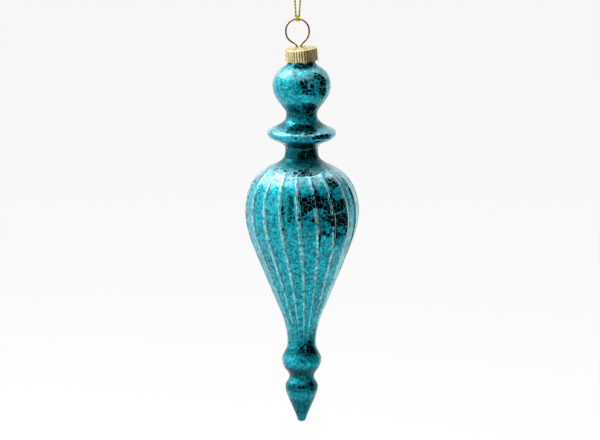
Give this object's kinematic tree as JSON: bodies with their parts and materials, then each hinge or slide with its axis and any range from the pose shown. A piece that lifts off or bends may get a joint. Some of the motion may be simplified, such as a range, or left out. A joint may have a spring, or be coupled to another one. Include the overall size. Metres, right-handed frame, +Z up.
{
  "type": "hanging glass finial ornament",
  "caption": "Teal mirrored blown-glass finial ornament with a fluted gold crown cap, sprung wire ring and gold thread loop.",
  "frame": {"origin": "hanging point: the middle of the wire at the top of the hanger ring", "axes": "+Z up, against the hang; the hanger ring lies in the XZ plane and is seen square on along +Y"},
  "size_m": [0.0564, 0.0564, 0.247],
  "materials": {
    "teal_glass": "gloss",
    "silver_coat": "antiqued mirror",
    "gold_cap": "satin",
    "copper_wire": "satin",
    "gold_thread": "metallic twisted thread"
  },
  "bodies": {
    "loop": {"thread_loop": "gold_thread"},
    "knot": {"thread_knot": "gold_thread"},
    "hanger": {"wire_hanger": "copper_wire", "crown_cap": "gold_cap"},
    "glass": {"glass_shell": "teal_glass", "silver_lining": "silver_coat"}
  },
  "joints": [
    {"name": "thread_twist", "type": "hinge", "parent": "loop", "child": "knot", "pos_m": [0, 0, 0.002], "axis": [0, 0, 1], "range_deg": [-180, 180]},
    {"name": "hanger_swing", "type": "hinge", "parent": "knot", "child": "hanger", "pos_m": [0, 0, 0], "axis": [1, 0, 0], "range_deg": [-90, 90]},
    {"name": "glass_pull", "type": "slide", "parent": "hanger", "child": "glass", "axis": [0, 0, -1], "range_m": [0, 0.025]}
  ]
}
